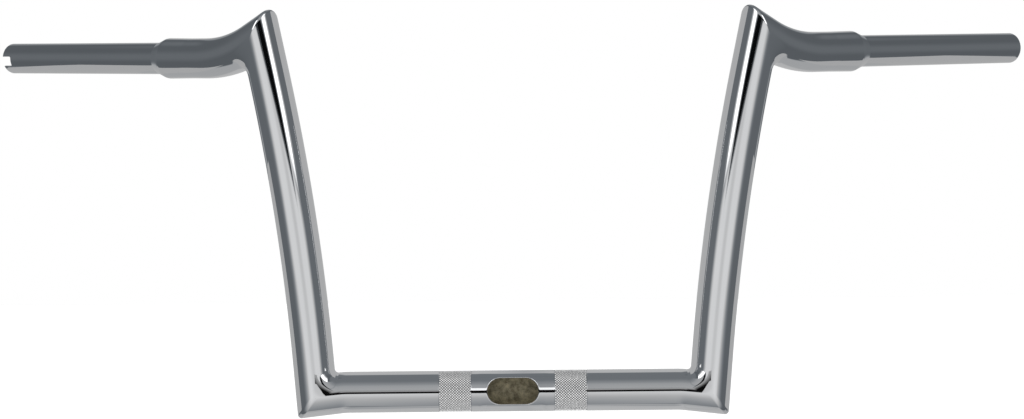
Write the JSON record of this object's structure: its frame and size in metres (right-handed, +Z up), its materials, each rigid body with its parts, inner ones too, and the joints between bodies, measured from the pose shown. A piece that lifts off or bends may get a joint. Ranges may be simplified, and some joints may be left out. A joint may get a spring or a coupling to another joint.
{
  "type": "ape hanger handlebar",
  "caption": "Chromed steel ape hanger handlebar with mitred peaks, knurled clamp bands and a wiring window.",
  "frame": {"origin": "middle of the crossbar's axis, between the two riser clamps", "axes": "+X along the crossbar to the rider's left, +Y back towards the rider, +Z up the uprights"},
  "size_m": [0.8715, 0.1938, 0.3166],
  "materials": {
    "chrome": "bright plated"
  },
  "bodies": {
    "root": {"handlebar": "chrome"}
  },
  "joints": []
}
